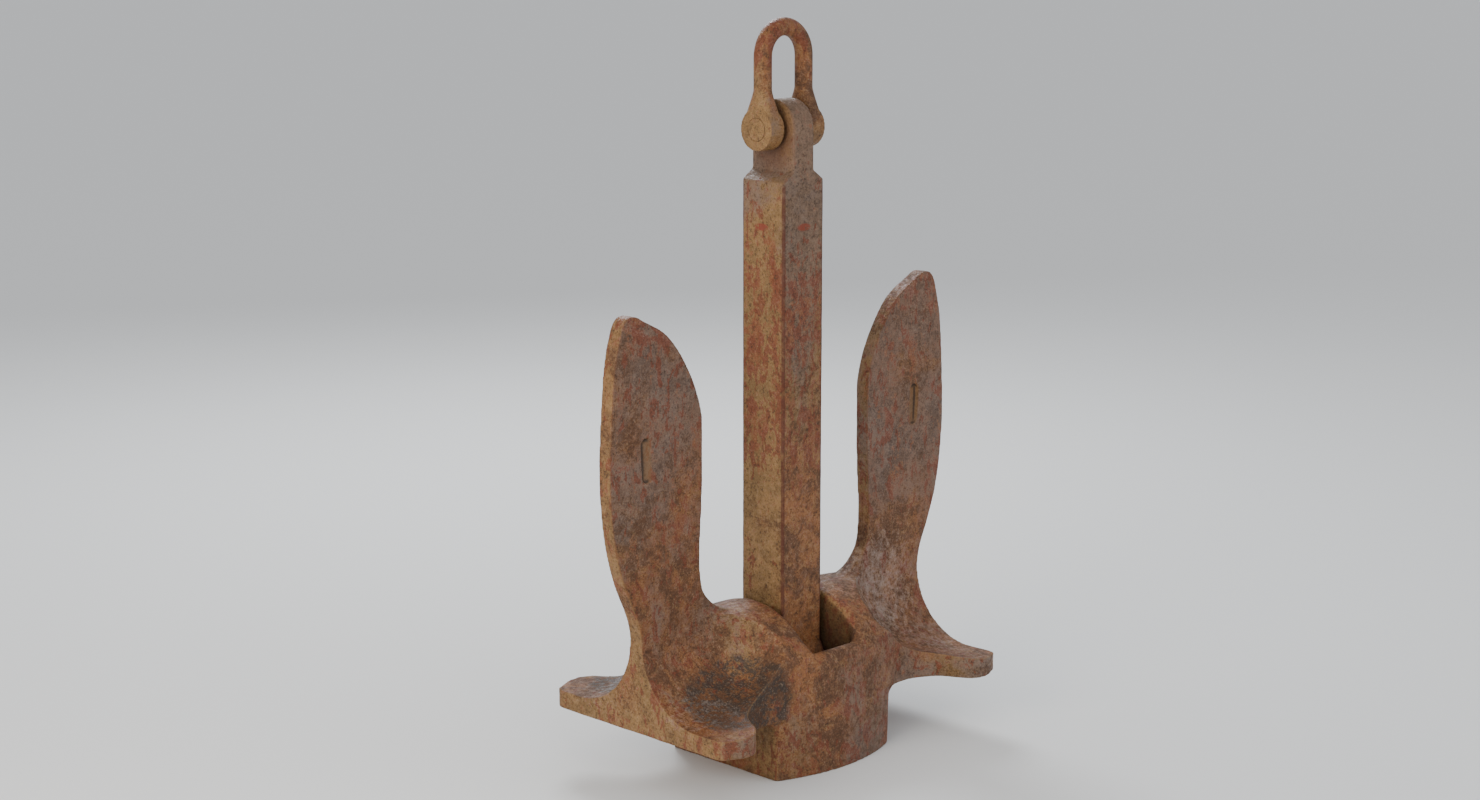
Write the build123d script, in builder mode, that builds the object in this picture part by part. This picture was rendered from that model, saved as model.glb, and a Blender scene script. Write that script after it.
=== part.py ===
"""Stockless ship's anchor: a tilting head with two flukes and four palms, on a square shank with a shackle.

Frame: millimetres, +Z up along the shank, origin on the flat bottom of the crown under the tilt axis.
The tilt axis and the shackle pin both run along X, from fluke to fluke.
"""

import os
from math import radians, sqrt, tan

from build123d import *

os.makedirs("parts", exist_ok=True)

# ---------------------------------------------------------------- driving sizes
# Shank
SHANK_WIDTH = 140.0            # square bar, across the flats
SHANK_EDGE = 7.0               # rounding of the bar's long edges
SHOULDER_DROP = 24.0           # height of the sloping shoulder
NECK_LENGTH = 99.0             # from the top of the shoulder to the shackle pin
NECK_THICK = 70.0              # along the pin
NECK_EDGE = 5.0
FOOT_SWELL = 14.0              # how far the round foot stands out past the bar

# Tilt joint
TILT_Z = 224.0                 # height of the crown pin
CROWN_PIN_D = 76.0
PIN_CLEARANCE = 0.08           # radial running clearance of both pins
SEAT_CLEARANCE = 0.05          # radial gap of a pin in the eyes or sockets that hold it
CROWN_PIN_SEAT = 74.0          # length of pin held in each side of the crown

# Shackle
SHACKLE_Z = 1541.0             # height of the shackle pin
SHACKLE_PIN_D = 54.0
SHACKLE_BAR_D = 44.0
SHACKLE_REACH = 238.0          # from pin centre to bar centre at the top of the bow
EYE_WALL = 24.0                # round the pin
EYE_THICK = 44.0
EYE_GAP = 13.0                 # between eye and neck, each side
SHACKLE_FLARE = 92.0           # above the pin centre, where a leg starts to widen into its eye
SHACKLE_EDGE = 8.0             # rounding of the eyes
LOCKING_PIN_D = 14.0
LOCKING_PIN_BITE = 12.0        # how far the locking pin enters the far side of the eye
LEAD_DEPTH = 7.0

# Crown
CROWN_END_WALL = 41.0          # from the end of a pin socket to the flat end of the crown
CROWN_CORNER_Y = 178.0         # half width at the corners
CROWN_BULGE = 44.0             # how far the front and back bulge past the corners, at the bottom
CROWN_CORNER_R = 12.0
CROWN_SPREAD = 16.0            # how far the ends lean out from bottom to roof
CROWN_LEAN = 22.0              # how far the bulging walls lean in from bottom to roof
ROOF_Z = 399.0                 # top of the rounded roof
ROOF_R = 224.0                 # radius of the roof about X
RIM_ROUND = 20.0               # rounding of the opening's upper edge
SHANK_GAP = 18.0               # between shank and opening, each side along X
CROWN_WALL = 14.0              # between opening and wall, level with the corners
OPENING_CORNER = 26.0
FOOT_GAP = 8.0                 # round the shank's foot, inside the crown
CHAMBER_RISE = 40.0            # below the pin centre, where the chamber starts to widen
CHAMBER_TOP = 62.0             # above the pin centre, where it reaches the opening's width

# Palms
PALM_END_X = 493.0             # flat outer ends
PALM_TIP_Y = 306.0
PALM_UNDER_Z = 149.0
PALM_THICK = 47.0              # at the outer end
PALM_NECK = 13.0               # past the crown's corners, where the walls are hollowed between crown and palm
UNDER_FILLET = 38.0

# Flukes
FLUKE_THICK = 40.0
FLUKE_TIP_X = 510.0
FLUKE_TIP_Z = 1146.0
FLUKE_BELLY = 92.0             # widest point, past the palms' ends
FLUKE_INNER_X = 289.0          # inner edge
HAND_SLOT = (34.0, 108.0)      # width and length of the wedge-shaped recess in each fluke face
HAND_SLOT_AT = (465.0, 804.0)  # its centre
HAND_SLOT_LEAN = 3.5           # degrees, top outwards
HAND_SLOT_DEPTH = 10.0

# Keepers
KEEPER_GAP = 0.3               # between a keeper block and the pin or the slot
KEEPER_SIDE_GAP = 1.5          # at each end of a keeper block
FLANGE_THICK = 22.0
FLANGE_LIP = 30.0              # past the bolt centres
POCKET_DEPTH = 46.0
KEEPER_BOLT_D = 24.0
KEEPER_BOLT_EDGE = 32.0        # from a socket's side to the bolt centres
KEEPER_BOLT_GRIP = 60.0        # length of bolt in the crown
BOLT_HEAD_AF = 36.0
BOLT_HEAD_H = 15.0

# ---------------------------------------------------------------- sizes that follow
half = SHANK_WIDTH / 2
foot_r = half + FOOT_SWELL
shoulder_z = SHACKLE_Z - NECK_LENGTH
pin_r = CROWN_PIN_D / 2
socket_r = pin_r + SEAT_CLEARANCE
opening_half_x = half + SHANK_GAP
opening_half_y = CROWN_CORNER_Y - CROWN_WALL
seat_end_x = opening_half_x + CROWN_PIN_SEAT
crown_half_x = seat_end_x + CROWN_END_WALL
shackle_pin_r = SHACKLE_PIN_D / 2
eye_r = shackle_pin_r + EYE_WALL
eye_inner_x = NECK_THICK / 2 + EYE_GAP
eye_outer_x = eye_inner_x + EYE_THICK
leg_x = (eye_inner_x + eye_outer_x) / 2
roof_centre_z = ROOF_Z - ROOF_R
palm_top_z = PALM_UNDER_Z + PALM_THICK
palm_neck_y = CROWN_CORNER_Y + PALM_NECK
fluke_outer_x = PALM_END_X + FLUKE_BELLY
foot_hole = foot_r + FOOT_GAP
keeper_x = (opening_half_x + seat_end_x) / 2
keeper_long = CROWN_PIN_SEAT - 2 * KEEPER_SIDE_GAP
bolt_r = KEEPER_BOLT_D / 2
bolt_y = socket_r + KEEPER_BOLT_EDGE
flange_half_y = bolt_y + FLANGE_LIP
lock_r = LOCKING_PIN_D / 2


def along(share):
    """X between the crown's end and the palms' end."""
    return crown_half_x + share * (PALM_END_X - crown_half_x)


def across(share):
    """Y between the hollowed wall and the palm tip."""
    return palm_neck_y + share * (PALM_TIP_Y - palm_neck_y)


def up(share):
    """Z between the crown's roof and the fluke's tip."""
    return ROOF_Z + share * (FLUKE_TIP_Z - ROOF_Z)


# ---------------------------------------------------------------- head
def scoop_section(x, web, floor, spread, rise):
    """Cross-section of the hollow between fluke, crown and palm, open upwards and outwards."""
    top = ROOF_Z + 60
    out = PALM_TIP_Y + 80
    with BuildSketch(Plane(origin=(x, 0, 0), x_dir=(0, 1, 0), z_dir=(1, 0, 0))) as section:
        with BuildLine():
            start = (web, floor + rise)
            end = (web + spread, floor)
            Line((web, top), start)
            EllipticalCenterArc((web + spread, floor + rise), spread, rise, start_angle=180, arc_size=90)
            Polyline(end, (out, floor), (out, top), (web, top))
        make_face()
    return section.sketch


# x, half thickness of the web, floor height, spread and rise of the hollow's curved flank
web = FLUKE_THICK / 2
scoop_stations = [
    (PALM_END_X + 90, web, palm_top_z - 3, 180, 180),
    (PALM_END_X + 30, web, palm_top_z - 1, 180, 180),
    (along(0.897), web, palm_top_z + 1, 180, 180),
    (along(0.690), web, palm_top_z + 6, 180, 181),
    (along(0.490), web, palm_top_z + 14, 178, 182),
    (along(0.321), web, palm_top_z + 26, 174, 182),
    (along(0.186), web + 7, palm_top_z + 44, 164, 172),
    (along(0.076), web + 25, palm_top_z + 69, 145, 146),
    (along(-0.038), web + 62, palm_top_z + 100, 110, 105),
    (along(-0.148), web + 110, palm_top_z + 140, 80, 70),
]


def crown_outline(z, half_x, corner_y, bulge_y):
    """Plan of the crown at one height: flat ends, bulging front and back."""
    with BuildSketch(Plane.XY.offset(z)) as plan:
        with BuildLine():
            front = ThreePointArc((-half_x, -corner_y), (0, -bulge_y), (half_x, -corner_y))
            Line(front @ 1, (half_x, corner_y))
            back = ThreePointArc((half_x, corner_y), (0, bulge_y), (-half_x, corner_y))
            Line(back @ 1, front @ 0)
        make_face()
        fillet(plan.vertices(), CROWN_CORNER_R)
    return plan.sketch


crown_plans = [
    crown_outline(0, crown_half_x, CROWN_CORNER_Y, CROWN_CORNER_Y + CROWN_BULGE),
    crown_outline(
        ROOF_Z, crown_half_x + CROWN_SPREAD, CROWN_CORNER_Y, CROWN_CORNER_Y + CROWN_BULGE - CROWN_LEAN
    ),
]
scoop_plans = [scoop_section(*station) for station in scoop_stations]

with BuildPart() as scoop:
    loft(scoop_plans)

with BuildPart() as head:
    # crown block
    loft(crown_plans, ruled=True)
    # palms, with walls hollowed between the crown and the four rounded tips
    with BuildSketch(Plane.XY.offset(PALM_UNDER_Z)):
        with BuildLine():
            wall = Line((0, CROWN_CORNER_Y), (seat_end_x - 42, palm_neck_y + 9))
            flare = Spline(
                wall @ 1, (along(0.307), palm_neck_y), (along(0.490), across(0.30)),
                (along(0.597), across(0.77)), (along(0.672), across(0.95)),
                (PALM_END_X - 56, PALM_TIP_Y), (PALM_END_X - 21, PALM_TIP_Y - 15),
                (PALM_END_X, PALM_TIP_Y - 42),
                tangents=[(1, -0.1), (0.15, -1)],
            )
            Polyline(flare @ 1, (PALM_END_X, 0), (0, 0), wall @ 0)
        make_face()
        mirror(about=Plane.YZ)
        mirror(about=Plane.XZ)
    extrude(amount=ROOF_Z - PALM_UNDER_Z)
    # hollow under each pair of palms
    with BuildSketch(Plane.XZ) as gusset:
        with BuildLine():
            low = (crown_half_x, PALM_UNDER_Z - UNDER_FILLET)
            far = (crown_half_x + UNDER_FILLET, PALM_UNDER_Z)
            RadiusArc(low, far, UNDER_FILLET)
            Polyline(far, (far[0], PALM_UNDER_Z + 1), (crown_half_x - 5, PALM_UNDER_Z + 1),
                     (crown_half_x - 5, low[1]), low)
        make_face()
        mirror(about=Plane.YZ)
    extrude(amount=CROWN_CORNER_Y, both=True)
    # rounded roof
    with BuildSketch(Plane.YZ):
        with BuildLine():
            roof_y = ROOF_R * 0.96
            roof_low = roof_centre_z + sqrt(ROOF_R**2 - roof_y**2)
            roof = ThreePointArc((-roof_y, roof_low), (0, ROOF_Z), (roof_y, roof_low))
            wide = PALM_TIP_Y + 20
            Polyline(roof @ 1, (wide, roof_low), (wide, 0), (-wide, 0), (-wide, roof_low), roof @ 0)
        make_face()
    extrude(amount=PALM_END_X + 50, both=True, mode=Mode.INTERSECT)
    # opening for the shank, with a rounded rim
    with BuildSketch(Plane.XY.offset(TILT_Z + CHAMBER_TOP - 2)):
        RectangleRounded(2 * opening_half_x, 2 * opening_half_y, OPENING_CORNER)
    extrude(amount=ROOF_Z, mode=Mode.SUBTRACT)
    rim = head.edges(Select.LAST).filter_by(lambda e: e.center().Z > TILT_Z + CHAMBER_TOP)
    fillet(rim - rim.filter_by(Axis.Z), RIM_ROUND)
    # hollows between fluke, crown and palm
    add(scoop.part, mode=Mode.SUBTRACT)
    add(mirror(scoop.part, about=Plane.YZ, mode=Mode.PRIVATE), mode=Mode.SUBTRACT)
    add(mirror(scoop.part, about=Plane.XZ, mode=Mode.PRIVATE), mode=Mode.SUBTRACT)
    both_ways = mirror(mirror(scoop.part, about=Plane.XZ, mode=Mode.PRIVATE), about=Plane.YZ, mode=Mode.PRIVATE)
    add(both_ways, mode=Mode.SUBTRACT)
    # flukes
    with BuildSketch(Plane.XZ):
        with BuildLine():
            root = (PALM_END_X - 130, palm_top_z)
            end_top = (PALM_END_X, ROOF_Z - 19)
            tip = (FLUKE_TIP_X, FLUKE_TIP_Z)
            Polyline(root, (PALM_END_X, palm_top_z), end_top)
            outer = Spline(
                end_top, (PALM_END_X + 35, up(0.111)), (PALM_END_X + 61, up(0.202)),
                (PALM_END_X + 83, up(0.336)), (fluke_outer_x, up(0.523)), (fluke_outer_x - 9, up(0.738)), (fluke_outer_x - 18, up(0.851)),
                (fluke_outer_x - 34, FLUKE_TIP_Z - 46), (FLUKE_TIP_X + 27, FLUKE_TIP_Z - 13), tip,
                tangents=[(0.1, 1), (-1, 0)],
            )
            inner = Spline(
                tip, (FLUKE_TIP_X - 29, FLUKE_TIP_Z - 10), (FLUKE_TIP_X - 96, FLUKE_TIP_Z - 46),
                (FLUKE_TIP_X - 146, FLUKE_TIP_Z - 97), (FLUKE_TIP_X - 178, FLUKE_TIP_Z - 146),
                (FLUKE_INNER_X + 19, up(0.738)), (FLUKE_INNER_X + 3, up(0.665)), (FLUKE_INNER_X, up(0.57)),
                tangents=[(-1, 0), (0, -1)],
            )
            crook = Spline(
                inner @ 1, (FLUKE_INNER_X + 5, up(0.33)), (FLUKE_INNER_X + 10, ROOF_Z + 135),
                (FLUKE_INNER_X + 6, ROOF_Z + 91), (FLUKE_INNER_X - 5, ROOF_Z + 57),
                (FLUKE_INNER_X - 28, ROOF_Z + 30), (FLUKE_INNER_X - 56, ROOF_Z + 11),
                (FLUKE_INNER_X - 86, ROOF_Z - 1),
                tangents=[(0, -1), (-1, -0.2)],
            )
            Polyline(crook @ 1, (FLUKE_INNER_X - 86, ROOF_Z - 60), root)
        make_face()
        mirror(about=Plane.YZ)
    extrude(amount=FLUKE_THICK / 2, both=True)
    # wedge-shaped recess in both faces of each fluke, deepest at its outer side
    for side in (-1, 1):
        for face in (-1, 1):
            slope = HAND_SLOT_DEPTH / HAND_SLOT[0]
            normal = (side * slope, -face, 0)
            at = (side * (HAND_SLOT_AT[0] + HAND_SLOT[0] / 2), face * (web - HAND_SLOT_DEPTH), HAND_SLOT_AT[1])
            lean = tan(radians(HAND_SLOT_LEAN))
            floor_plane = Plane(origin=at, x_dir=(side * lean, face * slope * lean, 1), z_dir=(side * slope, face, 0))
            with BuildSketch(floor_plane):
                with Locations((0, -side * face * HAND_SLOT[0] / 2)):
                    SlotOverall(HAND_SLOT[1], HAND_SLOT[0])
            extrude(amount=3 * HAND_SLOT_DEPTH, mode=Mode.SUBTRACT)
    # chamber for the shank's foot, open below and widening upwards to the opening
    with BuildSketch(Plane.YZ):
        with BuildLine():
            Polyline(
                (-foot_hole, 0), (-foot_hole, TILT_Z - CHAMBER_RISE), (-opening_half_y, TILT_Z + CHAMBER_TOP),
                (opening_half_y, TILT_Z + CHAMBER_TOP), (foot_hole, TILT_Z - CHAMBER_RISE), (foot_hole, 0),
                close=True,
            )
        make_face()
    extrude(amount=opening_half_x, both=True, mode=Mode.SUBTRACT)
    # sockets for the crown pin, open below
    with BuildSketch(Plane.YZ):
        with Locations((0, TILT_Z)):
            Circle(socket_r)
        with Locations((0, TILT_Z / 2)):
            Rectangle(2 * socket_r, TILT_Z)
    extrude(amount=seat_end_x, both=True, mode=Mode.SUBTRACT)
    # pocket for the keeper flanges, and their bolt holes
    with BuildSketch(Plane.XY):
        Rectangle(2 * seat_end_x, 2 * (flange_half_y + KEEPER_SIDE_GAP))
    extrude(amount=POCKET_DEPTH, mode=Mode.SUBTRACT)
    with BuildSketch(Plane.XY.offset(POCKET_DEPTH)):
        with GridLocations(2 * keeper_x, 2 * bolt_y, 2, 2):
            Circle(bolt_r + SEAT_CLEARANCE)
    extrude(amount=KEEPER_BOLT_GRIP + 2, mode=Mode.SUBTRACT)

# ---------------------------------------------------------------- shank
with BuildPart() as shank:
    shoulder_low = shoulder_z - SHOULDER_DROP
    with BuildSketch(Plane.XZ):
        with BuildLine():
            Polyline(
                (-half, TILT_Z - foot_r), (-half, shoulder_low), (-NECK_THICK / 2, shoulder_z),
                (-NECK_THICK / 2, SHACKLE_Z + half), (NECK_THICK / 2, SHACKLE_Z + half),
                (NECK_THICK / 2, shoulder_z), (half, shoulder_low), (half, TILT_Z - foot_r),
                close=True,
            )
        make_face()
    extrude(amount=foot_r, both=True)
    with BuildSketch(Plane.YZ):
        with Locations((0, TILT_Z)):
            Circle(foot_r)
        with Locations((0, (TILT_Z + SHACKLE_Z) / 2)):
            Rectangle(SHANK_WIDTH, SHACKLE_Z - TILT_Z)
        with Locations((0, SHACKLE_Z)):
            Circle(half)
    extrude(amount=half, both=True, mode=Mode.INTERSECT)
    uprights = shank.edges().filter_by(Axis.Z)
    fillet(uprights.filter_by(lambda e: e.center().Z < shoulder_z), SHANK_EDGE)
    neck_faces = shank.faces().filter_by(Axis.X).filter_by(lambda f: f.center().Z > shoulder_z)
    neck_edges = neck_faces.edges().filter_by(lambda e: e.center().Z > shoulder_z + 1)
    fillet(neck_edges, NECK_EDGE)
    with BuildSketch(Plane.YZ):
        with Locations((0, TILT_Z)):
            Circle(pin_r + PIN_CLEARANCE)
        with Locations((0, SHACKLE_Z)):
            Circle(shackle_pin_r + PIN_CLEARANCE)
    extrude(amount=half, both=True, mode=Mode.SUBTRACT)

# ---------------------------------------------------------------- crown pin and its keepers
with BuildPart() as crown_pin:
    with BuildSketch(Plane.YZ):
        with Locations((0, TILT_Z)):
            Circle(pin_r)
    extrude(amount=seat_end_x - 1, both=True)
    chamfer(crown_pin.edges().filter_by(GeomType.CIRCLE), 3)


def keeper(side):
    """Block that fills one socket below the pin, on a bolted flange; side is -1 or 1."""
    with BuildPart() as block:
        with BuildSketch(Plane.XY.offset(POCKET_DEPTH)):
            with Locations((side * keeper_x, 0)):
                Rectangle(keeper_long, 2 * (socket_r - KEEPER_GAP))
        extrude(amount=TILT_Z - pin_r - KEEPER_GAP - POCKET_DEPTH)
        with BuildSketch(Plane.XY.offset(POCKET_DEPTH)):
            with Locations((side * keeper_x, 0)):
                Rectangle(keeper_long, 2 * flange_half_y)
            with Locations((side * keeper_x, bolt_y), (side * keeper_x, -bolt_y)):
                Circle(bolt_r + 1, mode=Mode.SUBTRACT)
        extrude(amount=-FLANGE_THICK)
    return block.part


keeper_block_left = keeper(-1)
keeper_block_right = keeper(1)

with BuildPart() as keeper_bolts:
    head_z = POCKET_DEPTH - FLANGE_THICK
    with BuildSketch(Plane.XY.offset(head_z)):
        with GridLocations(2 * keeper_x, 2 * bolt_y, 2, 2):
            Circle(bolt_r)
    extrude(amount=FLANGE_THICK + KEEPER_BOLT_GRIP)
    with BuildSketch(Plane.XY.offset(head_z)):
        with GridLocations(2 * keeper_x, 2 * bolt_y, 2, 2):
            RegularPolygon(BOLT_HEAD_AF / 2, 6, major_radius=False)
    extrude(amount=-BOLT_HEAD_H)

# ---------------------------------------------------------------- shackle
with BuildPart() as shackle_bow:
    arc_z = SHACKLE_Z + SHACKLE_REACH - leg_x
    with BuildLine() as bow_path:
        up = Line((-leg_x, 0, SHACKLE_Z + SHACKLE_FLARE), (-leg_x, 0, arc_z))
        over = ThreePointArc(up @ 1, (0, 0, SHACKLE_Z + SHACKLE_REACH), (leg_x, 0, arc_z))
        Line(over @ 1, (leg_x, 0, SHACKLE_Z + SHACKLE_FLARE))
    with BuildSketch(Plane(origin=bow_path.line @ 0, z_dir=(0, 0, 1))):
        Circle(SHACKLE_BAR_D / 2)
    sweep()
    # each leg flattens and widens into its eye
    for side in (-1, 1):
        with BuildSketch(Plane.XY.offset(SHACKLE_Z + SHACKLE_FLARE)):
            with Locations((side * leg_x, 0)):
                Circle(SHACKLE_BAR_D / 2)
        with BuildSketch(Plane.XY.offset(SHACKLE_Z + 20)):
            with Locations((side * leg_x, 0)):
                RectangleRounded(EYE_THICK, 1.84 * eye_r, SHACKLE_EDGE * 1.5)
        loft()
        with BuildSketch(Plane.YZ.offset(side * leg_x)):
            with Locations((0, SHACKLE_Z)):
                Circle(eye_r)
        extrude(amount=EYE_THICK / 2, both=True)
    with BuildSketch(Plane.YZ):
        with Locations((0, SHACKLE_Z)):
            Circle(shackle_pin_r + SEAT_CLEARANCE)
    extrude(amount=eye_outer_x + 10, both=True, mode=Mode.SUBTRACT)
    # hole for the locking pin, from the back of one eye into its front
    with BuildSketch(Plane.XZ.offset(shackle_pin_r + LOCKING_PIN_BITE)):
        with Locations((leg_x, SHACKLE_Z)):
            Circle(lock_r + SEAT_CLEARANCE)
    extrude(amount=-(shackle_pin_r + LOCKING_PIN_BITE + eye_r), mode=Mode.SUBTRACT)

with BuildPart() as shackle_pin:
    with BuildSketch(Plane.YZ):
        with Locations((0, SHACKLE_Z)):
            Circle(shackle_pin_r)
    extrude(amount=eye_outer_x, both=True)
    chamfer(shackle_pin.edges().filter_by(GeomType.CIRCLE), 0.4)
    with BuildSketch(Plane.XZ.offset(shackle_pin_r)):
        with Locations((leg_x, SHACKLE_Z)):
            Circle(lock_r + SEAT_CLEARANCE)
    extrude(amount=-SHACKLE_PIN_D, mode=Mode.SUBTRACT)

with BuildPart() as locking_pin:
    lead_face = sqrt(eye_r**2 - lock_r**2) - 0.1
    with BuildSketch(Plane.XZ.offset(shackle_pin_r + LOCKING_PIN_BITE)):
        with Locations((leg_x, SHACKLE_Z)):
            Circle(lock_r)
    extrude(amount=-(shackle_pin_r + LOCKING_PIN_BITE + lead_face - LEAD_DEPTH))

with BuildPart() as lead_plug:
    with BuildSketch(Plane.XZ.offset(-lead_face)):
        with Locations((leg_x, SHACKLE_Z)):
            Circle(lock_r)
    extrude(amount=LEAD_DEPTH)

pieces = {
    "head": head.part,
    "shank": shank.part,
    "crown_pin": crown_pin.part,
    "keeper_block_left": keeper_block_left,
    "keeper_block_right": keeper_block_right,
    "keeper_bolts": keeper_bolts.part,
    "shackle_bow": shackle_bow.part,
    "shackle_pin": shackle_pin.part,
    "locking_pin": locking_pin.part,
    "lead_plug": lead_plug.part,
}
for name, piece in pieces.items():
    piece.label = name
    export_step(piece, f"parts/{name}.step")
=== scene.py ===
"""Scene for the stockless anchor: rusted cast and forged steel on a pale floor under soft studio light."""

from math import cos, radians, sin
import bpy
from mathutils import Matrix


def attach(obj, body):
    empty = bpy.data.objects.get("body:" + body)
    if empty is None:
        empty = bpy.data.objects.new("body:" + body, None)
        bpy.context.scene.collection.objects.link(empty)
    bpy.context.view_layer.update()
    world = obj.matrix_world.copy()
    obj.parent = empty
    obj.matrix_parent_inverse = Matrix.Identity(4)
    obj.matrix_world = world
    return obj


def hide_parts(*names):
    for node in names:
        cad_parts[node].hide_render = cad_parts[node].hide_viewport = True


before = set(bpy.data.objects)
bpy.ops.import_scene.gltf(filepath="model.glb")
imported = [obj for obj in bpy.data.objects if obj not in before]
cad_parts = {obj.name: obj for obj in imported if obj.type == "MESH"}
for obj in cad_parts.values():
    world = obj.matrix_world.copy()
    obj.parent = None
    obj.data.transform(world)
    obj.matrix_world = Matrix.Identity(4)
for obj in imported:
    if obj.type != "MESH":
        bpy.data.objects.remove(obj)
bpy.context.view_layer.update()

from types import SimpleNamespace

import bmesh
import bpy
from mathutils import Vector

# ---------------------------------------------------------------- sizes, in metres
STEPS = {
    "head": 0.0031,      # voxel size of each remeshed piece
    "shank": 0.0030,
    "shackle_bow": 0.0020,
}
SMOOTHING = {"head": 3, "shank": 3, "shackle_bow": 1}                # passes that soften each skin's edges
UNEVEN = {"head": 0.0022, "shank": 0.0012, "shackle_bow": 0.0004}    # depth of each skin's unevenness
UNEVEN_SIZE = 0.055      # width of its humps and dips
BLEND_PASSES = 14        # extra smoothing where the shapes of one casting or forging run together
SMOOTH_FACTOR = 0.5
FLOOR_HALF = 300.0
SLOT_X = 0.470           # middle of the region that the material colours over a hand slot
SLOT_Z = 0.804
DASH_Z = 1.3085          # height of the two paint dashes on the shank
BELOW_SHOULDER_Z = 1.405 # a little below the slope from the shank to its neck

# ---------------------------------------------------------------- camera
VIEW_YAW = radians(44.7)
VIEW_PITCH = radians(11.26)
VIEW_DISTANCE = 5.9686
VIEW_TARGET = Vector((-0.0722, 0.0730, 0.8795))
LENS_MM = 59.69
SENSOR_MM = 36.0


def look_at(obj, target):
    direction = Vector(target) - obj.location
    obj.rotation_euler = direction.to_track_quat("-Z", "Y").to_euler()


def add_camera():
    forward = Vector((cos(VIEW_YAW) * cos(VIEW_PITCH), sin(VIEW_YAW) * cos(VIEW_PITCH), -sin(VIEW_PITCH)))
    data = bpy.data.cameras.new("camera")
    data.lens = LENS_MM
    data.sensor_width = SENSOR_MM
    camera = bpy.data.objects.new("camera", data)
    bpy.context.scene.collection.objects.link(camera)
    camera.location = VIEW_TARGET - forward * VIEW_DISTANCE
    look_at(camera, VIEW_TARGET)
    bpy.context.scene.camera = camera


add_camera()


# ---------------------------------------------------------------- node helpers
class Shader:
    """A small helper that places nodes and links them in one call."""

    def __init__(self, name):
        self.material = bpy.data.materials.new(name)
        self.material.use_nodes = True
        self.tree = self.material.node_tree
        self.tree.nodes.clear()
        self.count = 0

    def node(self, kind, **settings):
        made = self.tree.nodes.new(kind)
        made.location = (220 * (self.count % 8), -260 * (self.count // 8))
        self.count += 1
        for key, value in settings.items():
            setattr(made, key, value)
        return made

    def feed(self, socket, value):
        if isinstance(value, bpy.types.NodeSocket):
            self.tree.links.new(value, socket)
        elif value is not None:
            socket.default_value = value

    def noise(self, vector, scale, detail=4.0, roughness=0.55, distortion=0.0):
        made = self.node("ShaderNodeTexNoise")
        self.feed(made.inputs["Vector"], vector)
        self.feed(made.inputs["Scale"], scale)
        self.feed(made.inputs["Detail"], detail)
        self.feed(made.inputs["Roughness"], roughness)
        self.feed(made.inputs["Distortion"], distortion)
        return made.outputs["Fac"]

    def cells(self, vector, scale):
        made = self.node("ShaderNodeTexVoronoi", feature="F1")
        self.feed(made.inputs["Vector"], vector)
        self.feed(made.inputs["Scale"], scale)
        self.feed(made.inputs["Randomness"], 1.0)
        return made.outputs["Distance"]

    def stretched(self, vector, along_z):
        made = self.node("ShaderNodeMapping")
        self.feed(made.inputs["Vector"], vector)
        made.inputs["Scale"].default_value = (1.0, 1.0, along_z)
        return made.outputs["Vector"]

    def split(self, vector):
        made = self.node("ShaderNodeSeparateXYZ")
        self.feed(made.inputs[0], vector)
        return made.outputs

    def math(self, operation, a, b=None, clamp=False):
        made = self.node("ShaderNodeMath", operation=operation, use_clamp=clamp)
        self.feed(made.inputs[0], a)
        self.feed(made.inputs[1], b)
        return made.outputs[0]

    def plus(self, *values):
        """Adds the values in turn and leaves out those that are None."""
        total = values[0]
        for value in values[1:]:
            if value is not None:
                total = self.math("ADD", total, value)
        return total

    def times(self, a, b):
        return self.math("MULTIPLY", a, b)

    def span(self, value, low, high, out_low=0.0, out_high=1.0):
        """Maps low..high smoothly to out_low..out_high."""
        made = self.node("ShaderNodeMapRange", interpolation_type="SMOOTHSTEP")
        self.feed(made.inputs["Value"], value)
        self.feed(made.inputs["From Min"], low)
        self.feed(made.inputs["From Max"], high)
        self.feed(made.inputs["To Min"], out_low)
        self.feed(made.inputs["To Max"], out_high)
        return made.outputs["Result"]

    def mix(self, factor, a, b, blend="MIX"):
        made = self.node("ShaderNodeMix", data_type="RGBA", blend_type=blend)
        self.feed(made.inputs[0], factor)
        self.feed(made.inputs[6], a)
        self.feed(made.inputs[7], b)
        return made.outputs[2]


def rgb(red, green, blue):
    return (red, green, blue, 1.0)


# ---------------------------------------------------------------- rust
OCHRE = rgb(0.205, 0.119, 0.043)
TAN = rgb(0.215, 0.130, 0.056)
ORANGE = rgb(0.205, 0.078, 0.024)
BROWN = rgb(0.118, 0.050, 0.021)
RED_RUST = rgb(0.140, 0.032, 0.012)
MAUVE = rgb(0.138, 0.084, 0.058)
COOL = rgb(0.112, 0.086, 0.072)
# black scale, also used as painted shade in the left hollow
SCALE_AND_SHADE_BLACK = rgb(0.024, 0.018, 0.014)
# painted sheen: a whitish reflection of the sky on upward and curved surfaces
PAINTED_SHEEN_COLOUR = rgb(0.330, 0.275, 0.245)
SPECK_LIGHT = rgb(0.300, 0.200, 0.125)
SPECK_DARK = rgb(0.034, 0.018, 0.011)
# painted shade for creases
PAINTED_CREASE_SHADE = rgb(0.075, 0.036, 0.020)
LOCAL_COLOURS = {
    # painted light on the sloped floor of a hand slot
    "floor": rgb(0.165, 0.088, 0.032),
    # painted shadow along a hand slot's deep side
    "slot_shadow": rgb(0.026, 0.015, 0.010),
    # painted shade inside the shank's opening
    "painted_opening_shade": rgb(0.026, 0.012, 0.007),
    "mark": rgb(0.180, 0.038, 0.018),
    "line": rgb(0.072, 0.019, 0.009),
    # painted shade on the neck beside the shackle's eyes
    "eye_shade": rgb(0.085, 0.032, 0.014),
}


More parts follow.
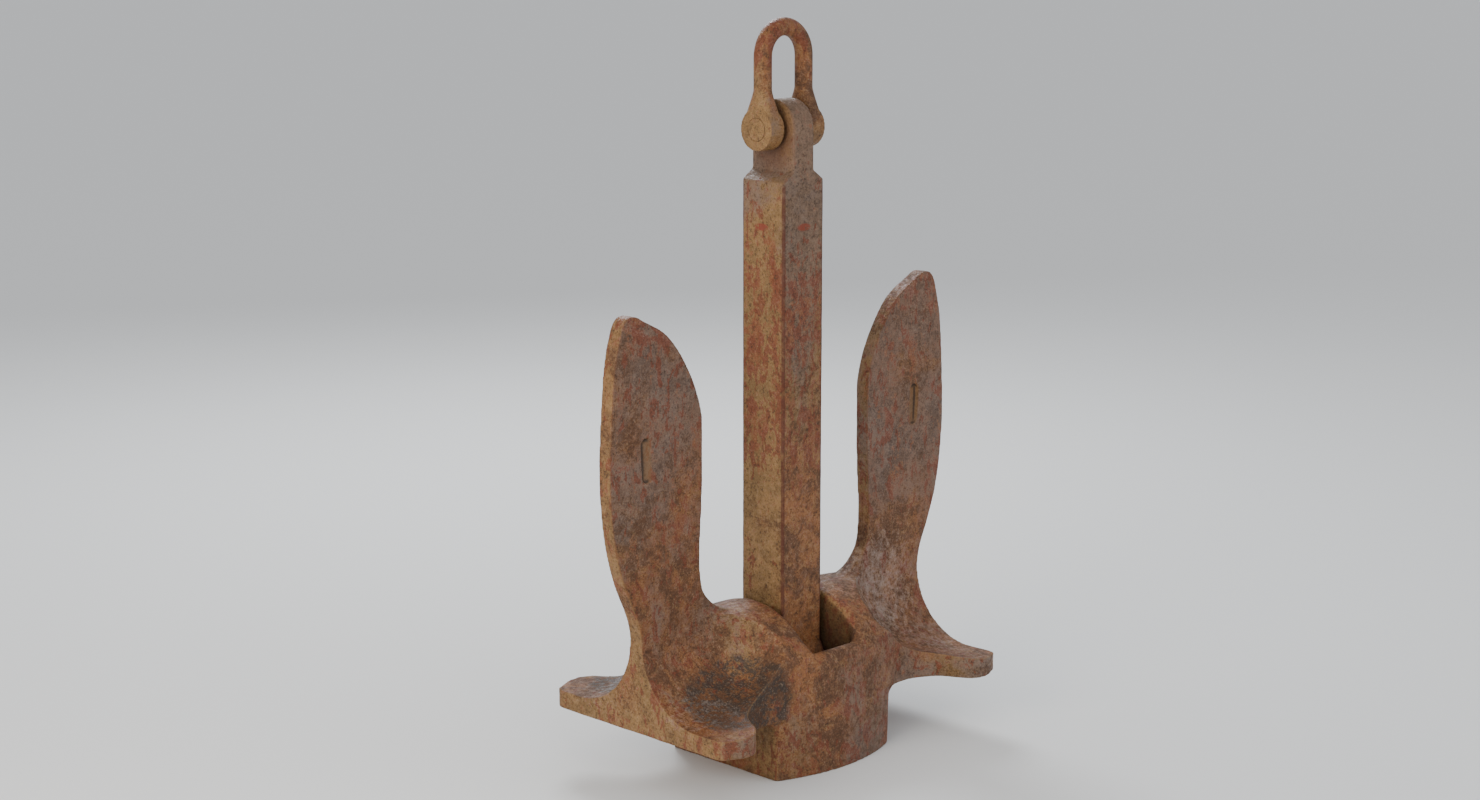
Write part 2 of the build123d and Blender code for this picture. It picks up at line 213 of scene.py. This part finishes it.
def rust_fields(s, grain, shift):
    """The places, face directions and noises that every layer of the rust is made from."""
    texture = s.node("ShaderNodeTexCoord")
    place = s.node("ShaderNodeMapping")
    s.feed(place.inputs["Vector"], texture.outputs["Object"])
    place.inputs["Location"].default_value = shift
    at = place.outputs["Vector"]
    runs = s.stretched(at, 0.30)
    short_runs = s.stretched(at, 0.50)
    x, y, z = s.split(texture.outputs["Object"])
    face = s.split(texture.outputs["Normal"])
    return SimpleNamespace(
        at=at, x=x, y=y, z=z,
        # face-direction tints: painted warm light on the end faces, painted cool light on the broad faces
        end_face_warm_light=s.math("ABSOLUTE", face[0]),
        broad_face_cool_light=s.math("ABSOLUTE", face[1]),
        broad=s.noise(at, 3.6, 5.0, 0.60, 0.5),
        patch=s.noise(at, 9.5, 8.0, 0.64, 0.7),
        blot=s.noise(at, 25.0, 8.0, 0.72, 1.0),
        drip=s.noise(runs, 21.0, 7.0, 0.66, 0.8),
        spots=s.noise(short_runs, 46.0, 5.0, 0.62, 0.7),
        fine=s.noise(at, 75.0 * grain, 6.0, 0.72),
        speck=s.noise(at, 210.0 * grain, 4.0, 0.72),
    )


def add_bloom(s, f, local, ochre):
    """Orange-brown bloom, and ochre on the ends and edges, partly painted warm light on the end faces."""
    plus, times = s.plus, s.times
    base = s.mix(s.span(plus(times(f.patch, 0.6), times(f.blot, 0.4)), 0.44, 0.56), BROWN, ORANGE)
    bloom = plus(
        times(f.broad, 0.45), times(f.patch, 0.35), times(f.fine, 0.2), times(f.end_face_warm_light, 0.12),
        local.get("ochre"),
    )
    base = s.mix(s.span(bloom, 0.60 - 0.16 * ochre, 0.70 - 0.14 * ochre, 0.0, 0.85), base, OCHRE)
    return s.mix(s.span(plus(times(f.blot, 0.6), times(f.speck, 0.4)), 0.50, 0.60, 0.0, 0.5), base, TAN)


def add_skin(s, f, local, base, skin):
    """Worn mauve skin on the broad faces, partly painted cool light on them, then soft light and dark
    mottling.
    """
    plus, times = s.plus, s.times
    worn = plus(
        times(f.broad, 0.5), times(f.patch, 0.3), times(f.fine, 0.2), times(f.broad_face_cool_light, 0.10),
        local.get("skin"),
    )
    worn = s.span(worn, 0.66 - 0.20 * skin, 0.77 - 0.20 * skin, 0.0, 0.80)
    base = s.mix(worn, base, MAUVE)
    cool = times(worn, s.span(plus(times(f.blot, 0.5), times(f.broad, 0.5)), 0.50, 0.60, 0.0, 0.55))
    base = s.mix(cool, base, COOL)
    mottle = plus(times(f.patch, 0.45), times(f.blot, 0.35), times(f.fine, 0.20))
    return s.mix(1.0, base, s.span(mottle, 0.41, 0.59, 0.80, 1.16), "MULTIPLY")


def add_freckles(s, f, local, base, red):
    """Red-brown blotches, runs and freckles."""
    plus, times = s.plus, s.times
    rash = plus(
        times(f.blot, 0.30), times(f.drip, 0.34), times(f.patch, 0.12), times(f.fine, 0.24), local.get("red")
    )
    base = s.mix(s.span(rash, 0.555 - 0.040 * red, 0.595 - 0.040 * red, 0.0, 0.78), base, RED_RUST)
    bright = plus(times(f.drip, 0.5), times(f.fine, 0.5), local.get("red"))
    base = s.mix(s.span(bright, 0.575 - 0.03 * red, 0.615 - 0.03 * red, 0.0, 0.60), base, ORANGE)
    reddened = times(local["red"], 1.9) if "red" in local else None
    dots = plus(f.spots, times(f.patch, 0.40), times(f.broad, 0.20), reddened)
    base = s.mix(s.span(dots, 0.885 - 0.06 * red, 0.945 - 0.06 * red, 0.0, 0.78), base, RED_RUST)
    freckle = times(s.span(f.fine, 0.56, 0.63), s.span(f.patch, 0.44, 0.56))
    return s.mix(times(freckle, 0.55), base, RED_RUST)


def scale_cover(s, f, local, black):
    """How far black scale covers each place: most in the hollows, where it is partly painted shade."""
    plus, times = s.plus, s.times
    scale = plus(times(f.broad, 0.3), times(f.patch, 0.3), times(f.blot, 0.4), local.get("black"))
    cover = s.span(scale, 0.71 - 0.16 * black, 0.86 - 0.16 * black)
    return times(cover, s.span(plus(times(f.blot, 0.5), times(f.fine, 0.5)), 0.44, 0.54, 0.12, 1.0))


def add_sheen_and_grain(s, f, local, base):
    """Painted sheen where the piece has any, then fine dark and light grain."""
    plus, times = s.plus, s.times
    if "painted_sheen" in local:
        sheen = plus(times(f.fine, 0.45), times(f.blot, 0.35), times(f.speck, 0.2), local["painted_sheen"])
        base = s.mix(s.span(sheen, 0.47, 0.72, 0.0, 0.55), base, PAINTED_SHEEN_COLOUR)
    grit = plus(times(f.fine, 0.35), times(f.speck, 0.65))
    base = s.mix(s.span(grit, 0.37, 0.50, 0.78, 0.0), base, SPECK_DARK)
    return s.mix(s.span(grit, 0.52, 0.62, 0.0, 0.30), base, SPECK_LIGHT)


def add_edges(s, f, base):
    """Edges wear light, which also stands in for their highlights, and creases get painted shade."""
    point = s.node("ShaderNodeNewGeometry").outputs["Pointiness"]
    rim = s.mix(s.span(f.z, 0.45, 0.60), TAN, BROWN)
    # light worn edges, partly a painted highlight along them
    base = s.mix(s.span(point, 0.515, 0.545, 0.0, 0.42), base, rim)
    # painted shade in the creases, where the surface folds inward
    return s.mix(s.span(point, 0.455, 0.488, 0.55, 0.0), base, PAINTED_CREASE_SHADE)


def finish_surface(s, f, base, cover, grain):
    """A pitted, mostly dull skin in the colour that the layers made."""
    plus, times = s.plus, s.times
    pits = s.span(s.cells(f.at, 170.0 * grain), 0.0, 0.45)
    height = plus(times(f.fine, 0.60), times(pits, 0.26), times(f.speck, 0.34), times(f.blot, 0.7))
    bump = s.node("ShaderNodeBump")
    s.feed(bump.inputs["Height"], height)
    bump.inputs["Strength"].default_value = 0.62
    bump.inputs["Distance"].default_value = 0.0042
    rough = s.span(plus(times(f.fine, 0.6), times(f.patch, 0.4)), 0.40, 0.62, 0.74, 0.44)
    shader = s.node("ShaderNodeBsdfPrincipled")
    s.feed(shader.inputs["Base Color"], base)
    s.feed(shader.inputs["Roughness"], plus(rough, times(cover, -0.06)))
    s.feed(shader.inputs["Normal"], bump.outputs["Normal"])
    shader.inputs["Metallic"].default_value = 0.0
    shader.inputs["Specular IOR Level"].default_value = 0.30
    out = s.node("ShaderNodeOutputMaterial")
    s.feed(out.inputs["Surface"], shader.outputs["BSDF"])


def rust(name, skin, ochre, red, black, grain=1.0, shift=(0.0, 0.0, 0.0), regions=None, edges=True):
    """Old rust: ochre and orange bloom, red-brown freckles and runs, worn mauve skin, black scale; with
    painted light: warm end faces, cool broad faces, sheen, and shade in creases and hollows.
    """
    s = Shader(name)
    f = rust_fields(s, grain, shift)
    local = regions(s, f.x, f.y, f.z) if regions else {}
    base = add_bloom(s, f, local, ochre)
    base = add_skin(s, f, local, base, skin)
    base = add_freckles(s, f, local, base, red)
    cover = scale_cover(s, f, local, black)
    base = s.mix(s.times(cover, 0.90), base, SCALE_AND_SHADE_BLACK)
    base = add_sheen_and_grain(s, f, local, base)
    if edges:
        base = add_edges(s, f, base)
    for key, colour in LOCAL_COLOURS.items():
        if key in local:
            base = s.mix(local[key], base, colour)
    finish_surface(s, f, base, cover, grain)
    return s.material


def blob(s, x, y, z, centre, size, amount):
    """A soft ellipsoid region, as an amount that falls to nothing at its edge."""
    total = None
    for value, middle, reach in zip((x, y, z), centre, size):
        if reach is None:
            continue
        part = s.math("DIVIDE", s.math("SUBTRACT", value, middle), reach)
        part = s.times(part, part)
        total = part if total is None else s.plus(total, part)
    return s.span(total, 0.0, 1.0, amount, 0.0)


def head_regions(s, x, y, z):
    """Where the casting carries scale, painted sheen and worn skin.

    Front and back are alike. The ends are too, but for the scale and painted shade in the left hollow, the
    painted sheen at the right fluke's root and a slightly more worn right half.
    """
    far_x = s.math("ABSOLUTE", x)
    far_y = s.math("ABSOLUTE", y)
    # black scale in the left hollow, also painted shade that deepens the hollow
    hollow_scale_and_shade = blob(s, x, far_y, z, (-0.30, 0.16, 0.225), (0.19, 0.17, 0.15), 0.50)
    wall = blob(s, far_x, far_y, z, (0.07, 0.22, 0.075), (0.12, 0.09, 0.085), 0.11)
    palm = blob(s, far_x, far_y, z, (0.41, 0.22, 0.20), (0.07, 0.07, 0.05), 0.10)
    blade = blob(s, far_x, far_y, z, (0.39, 0.02, 0.78), (0.09, 0.05, 0.10), 0.055)
    black = s.plus(s.plus(hollow_scale_and_shade, wall), s.plus(palm, blade))
    # painted sheen at the right fluke's root, the saddle, the palm tops and the fluke tips
    root = blob(s, x, far_y, z, (0.34, 0.06, 0.36), (0.17, 0.17, 0.19), 0.15)
    saddle = blob(s, far_x, far_y, z, (0.17, 0.06, 0.40), (0.10, 0.10, 0.06), 0.08)
    shelf = blob(s, far_x, far_y, z, (0.42, 0.14, 0.21), (0.14, 0.12, 0.06), 0.10)
    tip = s.span(z, 1.02, 1.14, 0.0, 0.06)
    painted_sheen = s.math("SUBTRACT", s.plus(s.plus(root, saddle), s.plus(tip, shelf)), 0.075)
    skin = s.plus(s.span(z, 0.42, 0.75, 0.0, 0.06), s.span(x, -0.1, 0.1, -0.025, 0.025))
    red = s.plus(s.span(z, 0.95, 1.12, 0.0, 0.022), s.span(z, 0.02, 0.14, 0.022, 0.0))
    ochre = s.span(z, 0.03, 0.22, 0.035, 0.0)
    # the wedge-shaped hand slots: a painted lit ochre floor and a painted shadow along the deep side
    from_slot = s.math("ABSOLUTE", s.math("SUBTRACT", z, SLOT_Z))
    beside_slot = s.math("ABSOLUTE", s.math("SUBTRACT", far_x, SLOT_X))
    slot = s.times(s.span(beside_slot, 0.028, 0.034, 1.0, 0.0), s.span(from_slot, 0.060, 0.068, 1.0, 0.0))
    floor = s.times(slot, s.span(far_y, 0.0155, 0.0180, 0.55, 0.0))
    tips = s.times(s.span(far_y, 0.0140, 0.0172, 0.85, 0.0), s.span(from_slot, 0.040, 0.050))
    slot_shadow = s.times(slot, s.math("MAXIMUM", tips, s.span(far_y, 0.0104, 0.0122, 0.85, 0.0)))
    # painted shade inside the shank's opening, darker with depth
    painted_opening_shade = s.times(s.span(far_x, 0.0890, 0.0915, 1.0, 0.0), s.span(far_y, 0.166, 0.170, 1.0, 0.0))
    painted_opening_shade = s.times(painted_opening_shade, s.span(z, 0.24, 0.40, 0.80, 0.45))
    return {
        "black": black, "painted_sheen": painted_sheen, "skin": skin, "red": red, "ochre": ochre,
        "floor": floor, "slot_shadow": slot_shadow, "painted_opening_shade": painted_opening_shade,
    }


def shank_regions(s, x, y, z):
    """The top is paler and cleaner, the middle freckled, the foot a deeper orange brown."""
    red = s.math("SUBTRACT", blob(s, x, y, z, (0, 0, 0.98), (None, None, 0.42), 0.070), 0.036)
    skin = s.math("SUBTRACT", s.span(z, 0.72, 1.20, 0.0, 0.21), s.times(s.math("ABSOLUTE", x), 2.3))
    ochre = s.math("SUBTRACT", s.span(z, 0.42, 1.20, 0.0, 0.17), s.span(z, 0.40, 0.70, 0.06, 0.02))
    dark = s.span(z, 0.36, 0.54, 0.13, 0.0)
    dash_x = blob(s, x, y, z, (-0.068, 0.004, DASH_Z), (0.016, 0.028, 0.0110), 1.5)
    dash_y = blob(s, x, y, z, (0.000, -0.068, DASH_Z), (0.028, 0.016, 0.0110), 1.5)
    ragged = s.span(s.noise(s.node("ShaderNodeTexCoord").outputs["Object"], 110.0, 5.0, 0.7), 0.36, 0.50)
    mark = s.math("MULTIPLY", s.math("MAXIMUM", dash_x, dash_y), ragged, clamp=True)
    near = s.math("MINIMUM", s.math("ABSOLUTE", x), s.math("ABSOLUTE", y))
    wobble = s.noise(s.node("ShaderNodeTexCoord").outputs["Object"], 30.0, 5.0, 0.7)
    line = s.times(s.span(near, 0.0610, 0.0645, 0.0, 0.90), s.span(wobble, 0.36, 0.56, 0.45, 1.0))
    line = s.times(line, s.span(z, BELOW_SHOULDER_Z, 1.415, 1.0, 0.0))
    # painted shade on the neck's sides beside the shackle's eyes
    eye_shade = blob(s, x, y, z, (None, 0, 1.52), (None, 0.085, 0.10), 0.75)
    eye_shade = s.times(eye_shade, s.span(s.math("ABSOLUTE", x), 0.028, 0.033))
    eye_shade = s.times(eye_shade, s.span(z, BELOW_SHOULDER_Z, 1.445))
    return {
        "red": red, "skin": skin, "ochre": ochre, "black": dark,
        "mark": mark, "line": line, "eye_shade": eye_shade,
    }


def bow_regions(s, x, y, z):
    """Redder round the bow, paler on the eyes."""
    red = s.span(z, 1.59, 1.74, -0.05, 0.030)
    ochre = s.span(z, 1.54, 1.62, 0.06, -0.05)
    return {"red": red, "ochre": ochre}


ROUND_BAR = {
    "skin": 0.30, "ochre": 0.55, "red": 0.5, "black": 0.0, "grain": 1.15, "shift": (7.3, 2.9, 1.1),
    "regions": bow_regions,
}
RECIPES = {
    "cast_rust": {"skin": 0.46, "ochre": 0.40, "red": 0.55, "black": 0.42, "regions": head_regions},
    "forged_rust": {
        "skin": 0.45, "ochre": 0.62, "red": 0.6, "black": 0.05, "shift": (3.1, 1.7, 0.4),
        "regions": shank_regions,
    },
    "shackle_rust": ROUND_BAR,
    "dark_steel": {
        "skin": 0.1, "ochre": 0.0, "red": 0.6, "black": 1.1, "shift": (1.3, 9.1, 4.4),
        "edges": False,
    },
    "bolt_steel": {
        "skin": 0.2, "ochre": 0.1, "red": 0.9, "black": 0.7, "grain": 1.5, "shift": (5.3, 4.1, 2.4),
        "edges": False,
    },
    "pin_steel": {**ROUND_BAR, "edges": False},
    "lead": {
        "skin": 1.6, "ochre": 0.0, "red": 0.0, "black": 0.5, "grain": 1.6, "shift": (8.3, 8.1, 3.4),
        "edges": False,
    },
}
MATERIALS = {name: rust(name, **recipe) for name, recipe in RECIPES.items()}


# ---------------------------------------------------------------- pieces
def copy_mesh(node, name):
    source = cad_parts[node]
    piece = bpy.data.objects.new(name, source.data.copy())
    piece.data.materials.clear()
    bpy.context.scene.collection.objects.link(piece)
    return piece


def apply_modifiers(piece):
    bpy.context.view_layer.objects.active = piece
    bpy.context.view_layer.update()
    evaluated = piece.evaluated_get(bpy.context.evaluated_depsgraph_get())
    mesh = bpy.data.meshes.new_from_object(evaluated)
    piece.modifiers.clear()
    old = piece.data
    piece.data = mesh
    bpy.data.meshes.remove(old)


def ramp(value, low, high):
    """0 below low, 1 above high; high may be the smaller."""
    return max(0.0, min(1.0, (value - low) / (high - low)))


def head_blend(co):
    """Weight of the extra smoothing: the middle of the casting, away from its crisp rims."""
    across = min(ramp(abs(co.x), 0.10, 0.15), ramp(abs(co.x), 0.40, 0.34))
    height = min(ramp(co.z, 0.21, 0.25), ramp(co.z, 0.50, 0.46))
    return across * height


def bow_blend(co):
    """Weight of the extra smoothing: the flare of each leg into its eye."""
    return ramp(co.z, 1.575, 1.60)


def weather(node, name, body, slot, blend=None):
    """A cast or forged skin over a CAD node: the same shape with softened edges, slightly uneven."""
    piece = copy_mesh(node, name)
    remesh = piece.modifiers.new("skin", "REMESH")
    remesh.mode = "VOXEL"
    remesh.voxel_size = STEPS[node]
    soften = piece.modifiers.new("soften", "SMOOTH")
    soften.factor = SMOOTH_FACTOR
    soften.iterations = SMOOTHING[node]
    apply_modifiers(piece)
    if blend:
        group = piece.vertex_groups.new(name="blend")
        for vertex in piece.data.vertices:
            weight = blend(vertex.co)
            if weight > 0.01:
                group.add([vertex.index], weight, "REPLACE")
        merge = piece.modifiers.new("merge", "SMOOTH")
        merge.factor = SMOOTH_FACTOR
        merge.iterations = BLEND_PASSES
        merge.vertex_group = "blend"
        apply_modifiers(piece)
    clouds = bpy.data.textures.new(name + "_clouds", "CLOUDS")
    clouds.noise_scale = UNEVEN_SIZE
    clouds.noise_depth = 4
    uneven = piece.modifiers.new("uneven", "DISPLACE")
    uneven.texture = clouds
    uneven.texture_coords = "LOCAL"
    uneven.mid_level = 1.0          # inwards only
    uneven.strength = UNEVEN[node]
    apply_modifiers(piece)
    for polygon in piece.data.polygons:
        polygon.use_smooth = True
    piece.data.materials.append(MATERIALS[slot])
    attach(piece, body)
    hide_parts(node)


weather("head", "head_casting", "head", "cast_rust", head_blend)
weather("shank", "shank_forging", "shank", "forged_rust")
weather("shackle_bow", "shackle_bar", "shackle", "shackle_rust", bow_blend)

KEPT = {
    "crown_pin": "dark_steel",
    "keeper_block_left": "dark_steel",
    "keeper_block_right": "dark_steel",
    "keeper_bolts": "bolt_steel",
    "shackle_pin": "pin_steel",
    "locking_pin": "pin_steel",
    "lead_plug": "lead",
}
for node, slot in KEPT.items():
    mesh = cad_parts[node].data
    for index in range(len(mesh.materials)):
        mesh.materials[index] = MATERIALS[slot]


# ---------------------------------------------------------------- floor and light
def add_floor():
    mesh = bpy.data.meshes.new("floor")
    floor = bpy.data.objects.new("floor", mesh)
    bpy.context.scene.collection.objects.link(floor)
    work = bmesh.new()
    bmesh.ops.create_grid(work, x_segments=1, y_segments=1, size=FLOOR_HALF)
    work.to_mesh(mesh)
    work.free()
    s = Shader("floor")
    shader = s.node("ShaderNodeBsdfPrincipled")
    shader.inputs["Base Color"].default_value = rgb(0.72, 0.72, 0.71)
    shader.inputs["Roughness"].default_value = 0.9
    out = s.node("ShaderNodeOutputMaterial")
    s.feed(out.inputs["Surface"], shader.outputs["BSDF"])
    mesh.materials.append(s.material)


def add_area(name, location, target, size, power, colour):
    data = bpy.data.lights.new(name, "AREA")
    data.shape = "DISK"
    data.size = size
    data.energy = power
    data.color = colour
    light = bpy.data.objects.new(name, data)
    bpy.context.scene.collection.objects.link(light)
    light.location = location
    look_at(light, target)


def add_sun(name, tilt, turn, angle, strength, colour):
    data = bpy.data.lights.new(name, "SUN")
    data.angle = angle
    data.energy = strength
    data.color = colour
    light = bpy.data.objects.new(name, data)
    bpy.context.scene.collection.objects.link(light)
    light.location = (0, 0, 4)
    light.rotation_euler = (tilt, 0, turn)


def add_world():
    world = bpy.data.worlds.new("studio")
    world.use_nodes = True
    background = world.node_tree.nodes["Background"]
    background.inputs["Color"].default_value = rgb(0.80, 0.83, 0.88)
    background.inputs["Strength"].default_value = 0.80
    bpy.context.scene.world = world


add_floor()
add_world()
add_sun(
    "sky", tilt=radians(52), turn=radians(-50), angle=radians(60), strength=0.80, colour=(1.0, 0.97, 0.93)
)
add_area("key_left", (-4.4, -0.6, 2.0), target=(0, 0, 0.6), size=2.6, power=135, colour=(1.0, 0.90, 0.78))
add_area("fill_right", (1.6, -4.6, 2.0), target=(0, 0, 0.8), size=3.2, power=55, colour=(0.90, 0.94, 1.0))
add_area("rim_back", (2.2, 3.6, 4.2), target=(0, 0, 0.9), size=2.2, power=220, colour=(0.92, 0.96, 1.0))
